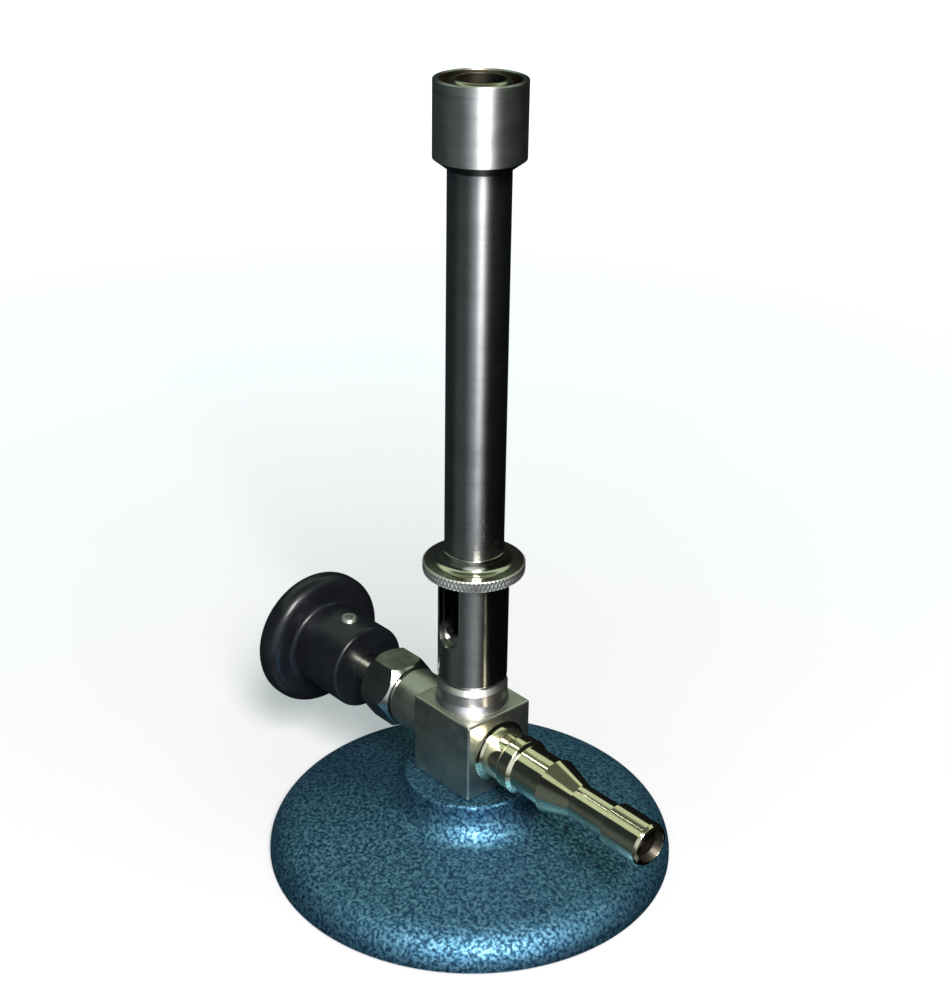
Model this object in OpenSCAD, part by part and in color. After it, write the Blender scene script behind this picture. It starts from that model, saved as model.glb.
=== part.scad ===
// Bunsen burner on a round cast foot.
// A square valve block carries the hose barb on +X and the needle valve and its knob on -X.
// The burner tube stands on the block and carries a turning air sleeve and a flame cup.
// Millimetres, +Z up, origin at the centre of the foot's underside.

/* [Foot] */
// Diameter of the foot
foot_d = 80; // [60:1:120]
// Height of the flat seat the valve block stands on
foot_h = 17.4; // [14:0.1:25]
// Diameter of the flat seat
foot_seat_d = 24.8; // [23:0.1:32]
// Height at the foot of the pedestal's flare
plate_h = 10.0; // [8:0.1:12]
// Slope of the plate from the flare to the rim, in degrees
plate_slope = 12; // [0:1:20]
// Depth of the hollow under the plate
hollow_h = 3.0; // [1:0.1:4]

/* [Valve block] */
// Width of the square bar
block_w = 15.9; // [14:0.1:20]
// Height of the block
block_h = 16.5; // [14:0.1:20]
// Broken edge of the block
block_edge = 0.5; // [0.2:0.1:1]
// Height of the valve axis above the table
axis_z = 25.8; // [24:0.1:28]
// Diameter of the turned boss that takes the gland
boss_d = 12.2; // [10:0.1:15]
// Distance of the boss end from the tube axis
boss_x = 17.7; // [15:0.1:22]

/* [Hose barb] */
// Distance from the block face to the tip
barb_len = 40; // [25:0.5:50]
// Diameter of the plain length behind the first ridge
barb_root_d = 9.6; // [8:0.1:12]
// Diameter of the narrow length between the ridges
barb_neck_d = 6.7; // [6:0.1:9]
// Diameter of the ridge at the tip
barb_tip_d = 8.4; // [7:0.1:10]
// Diameter of the gas way
barb_bore_d = 4.8; // [3:0.1:5]

/* [Burner tube] */
// Outside diameter of the burner tube
tube_d = 11.12; // [9:0.02:14]
// Bore of the burner tube
tube_bore_d = 8.3; // [7:0.1:10]
// Height of the tube's mouth
tube_top = 153; // [120:0.5:170]
// Outside diameter of the flame cup
cup_d = 16.1; // [14:0.1:20]
// Bore of the flame cup
cup_bore_d = 14.0; // [12.5:0.1:18]
// Height of the cup's rim, which is the height of the burner
cup_top = 153; // [125:0.5:175]
// Height of the cup's straight part
cup_straight = 13.2; // [8:0.1:20]

/* [Air sleeve] */
// Outside diameter of the air sleeve
sleeve_d = 13.36; // [12:0.02:16]
// Height of the sleeve's lower edge
sleeve_z0 = 39.2; // [37:0.1:42]
// Height of the sleeve's upper edge, under the collar
sleeve_z1 = 62; // [56:0.1:66]
// Width of an air slot in the sleeve
slot_w = 5.4; // [3:0.1:7]
// Height of the lower end of the air slot
slot_z0 = 47.5; // [46:0.1:52]
// Diameter of the knurled collar
collar_d = 19.16; // [16:0.1:24]
// Thickness of the collar's knurled edge
collar_h = 2.2; // [1.5:0.1:4]

/* [Gland and knob] */
// Size across the flats of the gland nut
gland_af = 13; // [11:0.5:17]
// Diameter of the knob's rim
knob_d = 28.8; // [20:0.1:40]
// Thickness of the knob's rim
knob_rim_h = 6.2; // [4:0.1:10]
// Diameter of the knob's neck
knob_neck_d = 17.8; // [12:0.1:20]
// Distance of the knob's outer face from the tube axis
knob_x = 52.4; // [45:0.1:60]
// Distance of the neck's inner end from the tube axis
knob_neck_x = 32.2; // [29:0.1:36]
// Diameter of the spindle's plain stem
stem_d = 6.0; // [3:0.1:6.4]

/* [Hidden] */
$fn = 96;
eps = 0.02;
cut = 1;
fit = 0.05;
snug = 0.02;
quarter = 90;
half_turn = 180;
full_turn = 360;
hex_sides = 6;
arc_steps = 10;

// foot
foot_r = foot_d / 2;
seat_r = foot_seat_d / 2;
shoulder_r = 0.7;
flare_r = 6.3;
flare_x = seat_r + shoulder_r + flare_r;
rim_h = 0.9;
rim_rz = 6.5;
rim_rx = 10.0;
rim_arc_end = atan(rim_rz / (rim_rx * tan(plate_slope)));
foot_ring_w = 6;
boss_hole_r = 6.5;
boss_wall = 3;
seat_web_z = 8;

// fixing screw with its washers
screw_r = 2.5;
screw_hole_r = 2.75;
screw_head_r = 4.25;
screw_head_h = 3.4;
screw_slot_w = 1.2;
screw_slot_h = 1.5;
screw_top = 20.6;
washer_r = 5.2;
washer_h = 1.0;
spring_r = 4.3;
spring_h = 1.2;
spring_gap = 0.9;
washer_z = seat_web_z - washer_h;
spring_z = washer_z - spring_h;
screw_head_z = spring_z - screw_head_h;

// valve block
block_r = block_w / 2;
block_top = foot_h + block_h;
boss_r = boss_d / 2;
boss_lip = 0.4;
chamber_r = 3.0;
thread_r = 3.4;
thread_bore_r = thread_r + fit;
packing_bore_r = 4.4;
inlet_r = 4.0;
inlet_x = 3.2;
orifice_r = 1.2;
orifice_x = 1.9;
outlet_r = 1.5;
chamber_x = -5.0;
thread_x = -13.0;
nipple_r = 4.5;
nipple_z = 31.4;

// seat ring for the tube
ring_r = 6.85;
ring_foot_r = 7.2;
ring_foot_h = 0.6;
ring_neck_r = 6.5;
ring_neck_h = 1.9;
ring_top = 38.1;
ring_cone_top = 39.1;
ring_cone_r = 5.9;
ring_bore_r = 2.95;
spigot_r = tube_bore_d / 2 - fit;
spigot_top = 41.5;

// jet
jet_r = 2.9;
jet_z0 = 36;
jet_af = 7;
jet_hex_h = 2.0;
jet_gasket_h = 0.5;
jet_hex_z = spigot_top + jet_gasket_h;
jet_nose_z = jet_hex_z + jet_hex_h;
jet_nose_h = 2.5;
jet_nose_r = 2.2;
jet_tip_r = 1.0;
jet_bore_r = 1.6;
jet_hole_r = 0.35;
jet_top = jet_nose_z + jet_nose_h;
jet_gasket_r = 3.9;

// tube
tube_r = tube_d / 2;
tube_bore_r = tube_bore_d / 2;
tube_z0 = ring_cone_top + eps;
mouth_rx = 1.1;
mouth_rz = 1.4;
port_r = 2.5;
port_rise = 1.9;
port_z0 = slot_z0 + slot_w / 2 + port_rise;
port_z1 = sleeve_z1 - port_r - 0.2;
groove_z = 43;
groove_h = 1.2;
groove_r = 5.0;
pilot_r = 0.6;
pilot_z = 143.5;
pilots = 4;

// cup
cup_r = cup_d / 2;
cup_bore_r = cup_bore_d / 2;
cup_cone_z = cup_top - cup_straight;
cup_z0 = cup_cone_z - 1.8;
cup_floor = cup_cone_z + 1.7;
cup_hole_r = tube_r + snug;
cup_lip = 0.25;

// sleeve, collar and spring ring
sleeve_r = sleeve_d / 2;
sleeve_bore_r = tube_r + fit;
sleeve_foot_r = 5.87;
sleeve_foot_h = 0.8;
tenon_r = 6.2;
tenon_h = 1.4;
tenon_z = sleeve_z1 + tenon_h;
collar_r = collar_d / 2;
collar_edge = 0.3;
collar_hub_r = 5.95;
collar_hub_h = 2.5;
collar_hub_edge = 0.2;
collar_fillet = 1.5;
collar_top = sleeve_z1 + collar_h;
clip_r0 = groove_r + snug;
clip_r1 = sleeve_bore_r - snug;
clip_h = 1.0;
clip_gap = 3.0;

// barb: distances from the block face and radii
flange_r = 6.6;
flange_h = 1.0;
collar1_r = 5.1;
bead_r = 5.5;
bead_x0 = 5.2;
bead_x1 = 8.3;
ridge1_x = 15.5;
ridge1_r = 5.35;
neck_x = 22.1;
ridge2_x = 31.2;
tip_edge = 0.9;
barb_thread_r = inlet_r - fit;
barb_thread_len = 4.6;
mouth_r = 3.1;
mouth_h = 1.4;
barb_r = barb_root_d / 2;
barb_neck_r = barb_neck_d / 2;
barb_tip_r = barb_tip_d / 2;
barb_bore_r = barb_bore_d / 2;

// gland
packing_r = packing_bore_r - fit;
packing_x0 = 16.4;
packing_x1 = 13.1;
gland_washer_x = 16.9;
gland_spigot_r = packing_bore_r - fit;
gland_face_x = boss_x + eps;
gland_groove_r = 5.4;
gland_x0 = 18.3;
gland_flat_x = 19.2;
gland_x1 = 26.8;
gland_chamfer_r = 6.2;
gland_corner_r = gland_af / 2 / cos(half_turn / hex_sides);
gland_slope = (gland_corner_r - gland_chamfer_r) / (gland_flat_x - gland_x0 + 0.6);
gland_chamfer_h = (gland_corner_r - gland_chamfer_r) / gland_slope;
stem_r = stem_d / 2;
stem_hole_r = stem_r + fit;

// spindle
spindle_thread_x0 = -11.0;
spindle_thread_x1 = -6.5;
needle_r = 1.9;
needle_x = 0.4;
needle_tip_r = 0.45;
needle_tip_x = 3.3;
spindle_end_x = 44;

// knob
knob_r = knob_d / 2;
knob_rim_edge = 2.6;
knob_neck_r = knob_neck_d / 2;
knob_neck_edge = 0.8;
knob_fillet = 1.2;
knob_rim_x = knob_x - knob_rim_h;
dish_r = 9;
dish_h = 1.2;
bush_r = 4.5;
bush_seat_x = 34;
bush_x0 = bush_seat_x + fit;
bush_x1 = 45;
bush_bore_r = stem_r + fit;
grub_r = 2.0;
grub_x = 38.4;
grub_top = knob_neck_r + 0.6;
grub_dome = 0.5;
grub_tip = stem_r + fit;
grub_socket_af = 1.6;
grub_socket_h = 1.6;

// points along an elliptical arc
function arc(cx, cy, rx, ry, a0, a1) =
    [for (i = [0 : arc_steps])
        let (a = a0 + (a1 - a0) * i / arc_steps)
        [cx + rx * cos(a), cy + ry * sin(a)]];

// a turned solid from [radius, height] points
module turned(points) {
    rotate_extrude(convexity = 6)
        polygon(points);
}

// lays a solid built along +Z on the valve axis, pointing to +X
module to_plus_x() {
    translate([0, 0, axis_z])
        rotate([0, quarter, 0])
            children();
}

// lays a solid built along +Z on the valve axis, pointing to -X
module to_minus_x() {
    translate([0, 0, axis_z])
        rotate([0, -quarter, 0])
            children();
}

module tube_ring(r0, r1, z0, z1) {
    difference() {
        translate([0, 0, z0])
            cylinder(r = r1, h = z1 - z0);
        translate([0, 0, z0 - cut])
            cylinder(r = r0, h = z1 - z0 + 2 * cut);
    }
}

module hexagon(af, z0, z1) {
    translate([0, 0, z0])
        cylinder(r = af / 2 / cos(half_turn / hex_sides), h = z1 - z0, $fn = hex_sides);
}

// square bar with all its edges broken
module edge_section(w, h) {
    a = w / 2;
    b = h / 2;
    e = block_edge;
    polygon([[a - e, -b], [a, -b + e], [a, b - e], [a - e, b],
             [-a + e, b], [-a, b - e], [-a, -b + e], [-a + e, -b]]);
}

module broken_bar() {
    mid = foot_h + block_h / 2;
    translate([0, 0, mid])
        intersection() {
            linear_extrude(height = block_h, center = true)
                edge_section(block_w, block_w);
            rotate([quarter, 0, 0])
                linear_extrude(height = block_w, center = true)
                    edge_section(block_w, block_h);
            rotate([quarter, 0, quarter])
                linear_extrude(height = block_w, center = true)
                    edge_section(block_w, block_h);
        }
}

module base() {
    color([0.12, 0.22, 0.32])
        difference() {
            turned(concat(
                [[0, 0], [foot_r - rim_h / 2, 0], [foot_r, rim_h / 2], [foot_r, rim_h]],
                arc(foot_r - rim_rx, rim_h, rim_rx, rim_rz, 0, rim_arc_end),
                arc(flare_x, plate_h + flare_r, flare_r, flare_r,
                    full_turn - quarter - plate_slope, half_turn),
                arc(seat_r, foot_h - shoulder_r, shoulder_r, shoulder_r, 0, quarter),
                [[0, foot_h]]));
            tube_ring(boss_hole_r + boss_wall, foot_r - foot_ring_w, -cut, hollow_h);
            translate([0, 0, -cut])
                cylinder(r = boss_hole_r, h = seat_web_z + cut);
            cylinder(r = screw_hole_r, h = foot_h + cut);
        }
}

module base_screw() {
    color([0.70, 0.70, 0.68])
        difference() {
            union() {
                translate([0, 0, screw_head_z])
                    cylinder(r = screw_head_r, h = screw_head_h);
                translate([0, 0, screw_head_z])
                    cylinder(r = screw_r - fit, h = screw_top - screw_head_z);
            }
            translate([-foot_r, -screw_slot_w / 2, screw_head_z - cut])
                cube([foot_d, screw_slot_w, screw_slot_h + cut]);
        }
}

module base_washer() {
    color([0.75, 0.75, 0.73])
        tube_ring(screw_r + fit, washer_r, washer_z, seat_web_z);
}

module base_spring_washer() {
    color([0.55, 0.55, 0.55])
        difference() {
            tube_ring(screw_r + fit, spring_r, spring_z, washer_z);
            translate([0, -spring_gap / 2, spring_z - cut])
                cube([foot_r, spring_gap, spring_h + 2 * cut]);
        }
}

module valve_body() {
    color([0.62, 0.64, 0.60])
        difference() {
            union() {
                broken_bar();
                to_minus_x()
                    turned([[0, 0], [boss_r, 0], [boss_r, boss_x - boss_lip],
                            [boss_r - boss_lip, boss_x], [0, boss_x]]);
            }
            to_plus_x() {
                translate([0, 0, inlet_x])
                    cylinder(r = inlet_r, h = foot_r);
                cylinder(r = orifice_r, h = foot_r);
                translate([0, 0, chamber_x])
                    cylinder(r = chamber_r, h = orifice_x - chamber_x);
                translate([0, 0, thread_x])
                    cylinder(r = thread_bore_r, h = chamber_x - thread_x);
                translate([0, 0, -foot_r])
                    cylinder(r = packing_bore_r, h = thread_x + foot_r);
            }
            translate([0, 0, axis_z])
                cylinder(r = outlet_r, h = foot_r);
            translate([0, 0, nipple_z - fit])
                cylinder(r = nipple_r + fit, h = foot_r);
            translate([0, 0, foot_h - cut])
                cylinder(r = screw_r, h = screw_top - foot_h + cut + fit);
        }
}

module hose_barb() {
    color([0.78, 0.78, 0.62])
        to_plus_x()
            difference() {
                turned([[0, block_r - barb_thread_len],
                        [barb_thread_r, block_r - barb_thread_len],
                        [barb_thread_r, block_r + eps], [flange_r, block_r + eps],
                        [collar1_r + 0.4, block_r + flange_h / 2], [collar1_r, block_r + flange_h],
                        [collar1_r, block_r + bead_x0 - 0.4], [bead_r, block_r + bead_x0],
                        [bead_r, block_r + bead_x1 - 0.6], [barb_r, block_r + bead_x1],
                        [barb_r, block_r + ridge1_x - 0.2], [ridge1_r, block_r + ridge1_x],
                        [barb_neck_r, block_r + neck_x],
                        [barb_neck_r, block_r + ridge2_x - 0.2],
                        [barb_tip_r, block_r + ridge2_x],
                        [barb_tip_r - 0.1, block_r + barb_len - tip_edge],
                        [barb_tip_r - 0.4, block_r + barb_len - tip_edge / 3],
                        [barb_tip_r - tip_edge, block_r + barb_len],
                        [0, block_r + barb_len]]);
                cylinder(r = barb_bore_r, h = block_r + barb_len + cut);
                translate([0, 0, block_r + barb_len - mouth_h])
                    cylinder(r1 = barb_bore_r, r2 = mouth_r, h = mouth_h + eps);
            }
}

module tube_seat() {
    color([0.60, 0.60, 0.58])
        difference() {
            turned([[0, nipple_z], [nipple_r, nipple_z], [nipple_r, block_top + eps],
                    [ring_foot_r, block_top + eps], [ring_foot_r, block_top + ring_foot_h],
                    [ring_neck_r, block_top + ring_neck_h], [ring_r, block_top + ring_neck_h],
                    [ring_r, ring_top],
                    [ring_cone_r, ring_cone_top], [spigot_r, ring_cone_top],
                    [spigot_r, spigot_top], [0, spigot_top]]);
            translate([0, 0, nipple_z - cut])
                cylinder(r = ring_bore_r, h = spigot_top - nipple_z + 2 * cut);
        }
}

module gas_jet() {
    color([0.72, 0.56, 0.26])
        difference() {
            union() {
                translate([0, 0, jet_z0])
                    cylinder(r = jet_r, h = jet_hex_z - jet_z0 + cut);
                hexagon(jet_af, jet_hex_z, jet_nose_z);
                translate([0, 0, jet_nose_z])
                    cylinder(r1 = jet_nose_r, r2 = jet_tip_r, h = jet_nose_h);
            }
            translate([0, 0, jet_z0 - cut])
                cylinder(r = jet_bore_r, h = jet_hex_z - jet_z0 + 2 * cut);
            translate([0, 0, jet_z0])
                cylinder(r = jet_hole_r, h = jet_top - jet_z0 + cut);
        }
}

module jet_gasket() {
    color([0.45, 0.24, 0.16])
        tube_ring(jet_r + fit, jet_gasket_r, spigot_top, jet_hex_z);
}

// a slot through both walls along Y, round at its lower end and, if wanted, at the upper
module air_slot(r, z0, z1, round_top) {
    translate([0, collar_d, z0])
        rotate([quarter, 0, 0])
            cylinder(r = r, h = 2 * collar_d);
    translate([-r, -collar_d, z0])
        cube([2 * r, 2 * collar_d, z1 - z0]);
    if (round_top)
        translate([0, collar_d, z1])
            rotate([quarter, 0, 0])
                cylinder(r = r, h = 2 * collar_d);
}

module burner_tube() {
    color([0.36, 0.36, 0.35])
        difference() {
            turned(concat(
                [[tube_bore_r, tube_z0], [tube_r, tube_z0],
                 [tube_r, groove_z - groove_h / 2], [groove_r, groove_z - groove_h / 2],
                 [groove_r, groove_z + groove_h / 2], [tube_r, groove_z + groove_h / 2]],
                arc(tube_r - mouth_rx, tube_top - mouth_rz, mouth_rx, mouth_rz, 0, quarter),
                [[tube_bore_r, tube_top]]));
            air_slot(port_r, port_z0, port_z1, true);
            for (i = [0 : pilots - 1])
                rotate([0, 0, i * half_turn / pilots])
                    translate([0, 0, pilot_z])
                        rotate([0, quarter, 0])
                            cylinder(r = pilot_r, h = 2 * tube_d, center = true);
        }
}

module flame_cup() {
    color([0.58, 0.58, 0.56])
        turned([[cup_hole_r, cup_z0], [cup_r, cup_cone_z], [cup_r, cup_top - cup_lip],
                [cup_r - cup_lip, cup_top], [cup_bore_r + cup_lip, cup_top],
                [cup_bore_r, cup_top - cup_lip], [cup_bore_r, cup_floor],
                [cup_hole_r, cup_floor]]);
}

module air_sleeve() {
    color([0.42, 0.42, 0.40])
        difference() {
            turned([[sleeve_bore_r, sleeve_z0], [sleeve_foot_r, sleeve_z0],
                    [sleeve_r, sleeve_z0 + sleeve_foot_h], [sleeve_r, sleeve_z1],
                    [tenon_r, sleeve_z1], [tenon_r, tenon_z], [sleeve_bore_r, tenon_z]]);
            air_slot(slot_w / 2, slot_z0 + slot_w / 2, tenon_z + cut, false);
        }
}

module knurled_collar() {
    color([0.55, 0.55, 0.53])
        turned(concat(
            [[tenon_r + snug, sleeve_z1 + eps], [collar_r - collar_edge, sleeve_z1 + eps],
             [collar_r, sleeve_z1 + collar_edge], [collar_r, collar_top - collar_edge],
             [collar_r - collar_edge, collar_top]],
            arc(collar_hub_r + collar_fillet, collar_top + collar_fillet,
                collar_fillet, collar_fillet, full_turn - quarter, half_turn),
            [[collar_hub_r, collar_top + collar_hub_h - collar_hub_edge],
             [collar_hub_r - collar_hub_edge, collar_top + collar_hub_h],
             [sleeve_bore_r, collar_top + collar_hub_h], [sleeve_bore_r, tenon_z + eps],
             [tenon_r + snug, tenon_z + eps]]));
}

module sleeve_spring_ring() {
    color([0.62, 0.42, 0.20])
        difference() {
            tube_ring(clip_r0, clip_r1, groove_z - clip_h / 2, groove_z + clip_h / 2);
            translate([0, -clip_gap / 2, groove_z - clip_h])
                cube([collar_r, clip_gap, 2 * clip_h]);
        }
}

module needle_spindle() {
    color([0.76, 0.62, 0.30])
        to_plus_x()
            turned([[0, -spindle_end_x], [stem_r, -spindle_end_x], [stem_r, spindle_thread_x0],
                    [thread_r, spindle_thread_x0], [thread_r, spindle_thread_x1],
                    [needle_r, spindle_thread_x1], [needle_r, needle_x],
                    [needle_tip_r, needle_tip_x], [0, needle_tip_x]]);
}

module gland_packing() {
    color([0.16, 0.16, 0.16])
        to_minus_x()
            tube_ring(stem_hole_r, packing_r, packing_x1, packing_x0);
}

module gland_washer() {
    color([0.74, 0.58, 0.28])
        to_minus_x()
            tube_ring(stem_hole_r, packing_r, packing_x0 + eps, gland_washer_x);
}

module gland_nut() {
    color([0.50, 0.52, 0.50])
        to_minus_x()
            difference() {
                union() {
                    intersection() {
                        rotate([0, 0, half_turn / hex_sides])
                            hexagon(gland_af, gland_x0, gland_x1);
                        turned([[0, gland_x0], [gland_chamfer_r, gland_x0],
                                [gland_corner_r, gland_x0 + gland_chamfer_h],
                                [gland_corner_r, gland_x1 - gland_chamfer_h],
                                [gland_chamfer_r, gland_x1], [0, gland_x1]]);
                    }
                    translate([0, 0, gland_face_x])
                        cylinder(r = gland_groove_r, h = gland_x0 - gland_face_x + cut);
                    translate([0, 0, gland_washer_x + eps])
                        cylinder(r = gland_spigot_r, h = gland_x0 - gland_washer_x);
                }
                cylinder(r = stem_hole_r, h = foot_r);
            }
}

module knob() {
    color([0.05, 0.05, 0.06])
        to_minus_x()
            difference() {
                turned(concat(
                    [[0, knob_neck_x], [knob_neck_r - knob_neck_edge, knob_neck_x]],
                    arc(knob_neck_r - knob_neck_edge, knob_neck_x + knob_neck_edge,
                        knob_neck_edge, knob_neck_edge, -quarter, 0),
                    [[knob_neck_r, knob_rim_x - knob_fillet],
                     [knob_neck_r + knob_fillet, knob_rim_x]],
                    arc(knob_r - knob_rim_edge, knob_rim_x + knob_rim_edge,
                        knob_rim_edge, knob_rim_edge, -quarter, 0),
                    arc(knob_r - knob_rim_edge, knob_x - knob_rim_edge,
                        knob_rim_edge, knob_rim_edge, 0, quarter),
                    [[dish_r, knob_x], [0, knob_x - dish_h]]));
                translate([0, 0, knob_neck_x - cut])
                    cylinder(r = stem_hole_r, h = bush_x1 - knob_neck_x + cut);
                translate([0, 0, bush_seat_x])
                    cylinder(r = bush_r, h = bush_x1 - bush_seat_x);
                grub_way(grub_r + fit);
            }
}

// the radial way of the grub screw, straight up at rest
module grub_way(r) {
    translate([0, 0, grub_x])
        rotate([0, quarter, 0])
            cylinder(r = r, h = 2 * knob_r);
}

module knob_bush() {
    color([0.74, 0.58, 0.28])
        to_minus_x()
            difference() {
                tube_ring(bush_bore_r, bush_r - snug, bush_x0, bush_x1 - fit);
                grub_way(grub_r + snug);
            }
}

module knob_grub_screw() {
    color([0.80, 0.80, 0.78])
        to_minus_x()
            translate([0, 0, grub_x])
                rotate([0, quarter, 0])
                    difference() {
                        turned([[0, grub_tip], [grub_r, grub_tip], [grub_r, grub_top - grub_dome],
                                [grub_r - grub_dome, grub_top], [0, grub_top]]);
                        hexagon(grub_socket_af, grub_top - grub_socket_h, grub_top + cut);
                    }
}

base();
base_screw();
base_washer();
base_spring_washer();
valve_body();
hose_barb();
tube_seat();
gas_jet();
jet_gasket();
burner_tube();
flame_cup();
air_sleeve();
knurled_collar();
sleeve_spring_ring();
needle_spindle();
gland_packing();
gland_washer();
gland_nut();
knob();
knob_bush();
knob_grub_screw();
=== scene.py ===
"""Bunsen burner: the looks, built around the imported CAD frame.

All lengths are in mm and turned into metres when a mesh is made.
"""

import math

import bmesh
import bpy
from mathutils import Matrix, Vector

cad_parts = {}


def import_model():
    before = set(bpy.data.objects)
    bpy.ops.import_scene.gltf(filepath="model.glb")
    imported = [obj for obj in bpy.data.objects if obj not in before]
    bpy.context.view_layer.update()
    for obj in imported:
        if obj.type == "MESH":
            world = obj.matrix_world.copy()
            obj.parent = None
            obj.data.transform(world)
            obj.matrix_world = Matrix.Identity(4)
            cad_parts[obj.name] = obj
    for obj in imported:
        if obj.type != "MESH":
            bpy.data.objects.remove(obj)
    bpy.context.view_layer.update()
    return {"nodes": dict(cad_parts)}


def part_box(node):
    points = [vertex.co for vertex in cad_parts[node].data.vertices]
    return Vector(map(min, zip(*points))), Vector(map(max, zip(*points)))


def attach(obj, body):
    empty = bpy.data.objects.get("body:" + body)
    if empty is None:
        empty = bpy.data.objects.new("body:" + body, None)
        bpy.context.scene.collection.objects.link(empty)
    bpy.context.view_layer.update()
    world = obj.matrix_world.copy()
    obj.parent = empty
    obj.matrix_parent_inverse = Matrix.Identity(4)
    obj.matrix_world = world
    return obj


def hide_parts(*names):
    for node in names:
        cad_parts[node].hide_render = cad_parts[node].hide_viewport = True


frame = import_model()
NODES = frame["nodes"]

MM = 0.001
TAU = 2 * math.pi


def mm(value):
    return value / MM


# ---------------------------------------------------------------- measures
# Read from the CAD nodes where a box gives them, so that the looks follow the frame.
def low(node):
    return [mm(c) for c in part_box(node)[0]]


def high(node):
    return [mm(c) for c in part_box(node)[1]]


FOOT_R = high("base")[0]
FOOT_H = high("base")[2]
BLOCK_R = high("valve_body")[1]
BLOCK_TOP = high("valve_body")[2]
BOSS_X = -low("valve_body")[0]
AXIS = (high("knob")[2] + low("knob")[2]) / 2
SEAT_TOP = high("tube_seat")[2]
TUBE_R = high("burner_tube")[0]
TUBE_Z0 = low("burner_tube")[2]
TUBE_Z1 = high("burner_tube")[2]
CUP_R = high("flame_cup")[0]
CUP_Z0 = low("flame_cup")[2]
CUP_Z1 = high("flame_cup")[2]
SLEEVE_R = high("air_sleeve")[0]
SLEEVE_Z0 = low("air_sleeve")[2]
SLEEVE_TOP = high("air_sleeve")[2]
COLLAR_R = high("knurled_collar")[0]
COLLAR_Z0 = low("knurled_collar")[2]
HUB_TOP = high("knurled_collar")[2]
KNOB_R = high("knob")[1]
KNOB_X1 = -low("knob")[0]
KNOB_X0 = -high("knob")[0]
BARB_X1 = high("hose_barb")[0]
NUT_X1 = -low("gland_nut")[0]
NUT_AF = high("gland_nut")[2] - low("gland_nut")[2]
GRUB_TOP = high("knob_grub_screw")[2]
GRUB_X = (high("knob_grub_screw")[0] + low("knob_grub_screw")[0]) / 2


# ---------------------------------------------------------------- mesh code
def arc(cx, cy, rx, ry, a0, a1, steps=14):
    """Points on an elliptical arc, angles in degrees."""
    span = [math.radians(a0 + (a1 - a0) * i / steps) for i in range(steps + 1)]
    return [(cx + rx * math.cos(a), cy + ry * math.sin(a)) for a in span]


def outline(corners, closed, steps):
    """Corners (radius, height, edge radius); an edge radius rounds its corner."""
    out = []
    count = len(corners)
    for i, corner in enumerate(corners):
        r, h, edge = (*corner, 0)[:3]
        if not edge or (not closed and i in (0, count - 1)):
            out.append((r, h))
            continue
        p = Vector((r, h))
        a = Vector(corners[i - 1][:2]) - p
        b = Vector(corners[(i + 1) % count][:2]) - p
        half = a.angle(b) / 2
        reach = min(edge / math.tan(half), 0.48 * a.length, 0.48 * b.length)
        radius = reach * math.tan(half)
        a.normalize()
        b.normalize()
        centre = p + (a + b).normalized() * (radius / math.sin(half))
        s, e = p + a * reach - centre, p + b * reach - centre
        a0 = math.atan2(s.y, s.x)
        turn = (math.atan2(e.y, e.x) - a0 + math.pi) % TAU - math.pi
        for k in range(steps + 1):
            t = a0 + turn * k / steps
            out.append((centre.x + radius * math.cos(t), centre.y + radius * math.sin(t)))
    return out


def spot(axis, x, y, h, at):
    """A point of a solid built along its own axis, in metres."""
    if axis == "+x":
        p = (h, y, AXIS - x)
    elif axis == "-x":
        p = (-h, y, AXIS + x)
    else:
        p = (x, y, h)
    return [(c + o) * MM for c, o in zip(p, at)]


def thing(name, bm):
    bmesh.ops.recalc_face_normals(bm, faces=bm.faces)
    mesh = bpy.data.meshes.new(name)
    bm.to_mesh(mesh)
    bm.free()
    obj = bpy.data.objects.new(name, mesh)
    bpy.context.scene.collection.objects.link(obj)
    return obj


def turned(name, corners, axis="z", at=(0, 0, 0), seg=160, steps=5, shape=None):
    """A turned solid. A profile that starts on the axis closes on it; any other closes on itself."""
    closed = corners[0][0] > 0
    bm = bmesh.new()
    rings = []
    for r, h in outline(corners, closed, steps):
        if r < 1e-6:
            rings.append([bm.verts.new(spot(axis, 0, 0, h, at))])
            continue
        ring = []
        for j in range(seg):
            a = TAU * j / seg
            rr = shape(r, h, a) if shape else r
            ring.append(bm.verts.new(spot(axis, rr * math.cos(a), rr * math.sin(a), h, at)))
        rings.append(ring)
    pairs = list(zip(rings, rings[1:])) + ([(rings[-1], rings[0])] if closed else [])
    for one, two in pairs:
        for j in range(seg):
            k = (j + 1) % seg
            corner = [one[j % len(one)], one[k % len(one)], two[k % len(two)], two[j % len(two)]]
            face = list(dict.fromkeys(corner))
            if len(face) > 2:
                bm.faces.new(face)
    return thing(name, bm)


def stepped(name, start, *steps, axis="z", at=(0, 0, 0), seg=64):
    """A stepped bar or drill from that height; each step is (radius, height it goes up to)."""
    points = [(0, start)]
    here = start
    for radius, end in steps:
        points += [(radius, here), (radius, end)]
        here = end
    return turned(name, points + [(0, here)], axis, at, seg=seg)


def prism(points, axis, h0, h1, at=(0, 0, 0)):
    """A straight bar with that outline, from h0 to h1 along its axis: z, +x, -x or y."""
    bm = bmesh.new()
    ends = []
    for h in (h0, h1):
        if axis == "y":
            ends.append([bm.verts.new([(x + at[0]) * MM, h * MM, (z + at[2]) * MM]) for x, z in points])
        else:
            ends.append([bm.verts.new(spot(axis, x, y, h, at)) for x, y in points])
    count = len(points)
    bm.faces.new(ends[0])
    bm.faces.new(ends[1])
    for j in range(count):
        k = (j + 1) % count
        bm.faces.new([ends[0][j], ends[0][k], ends[1][k], ends[1][j]])
    return thing("bar", bm)


def hexagon(flats, turn=0.0):
    r = flats / 2 / math.cos(TAU / 12)
    return [(r * math.cos(TAU * i / 6 + turn), r * math.sin(TAU * i / 6 + turn)) for i in range(6)]


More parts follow.
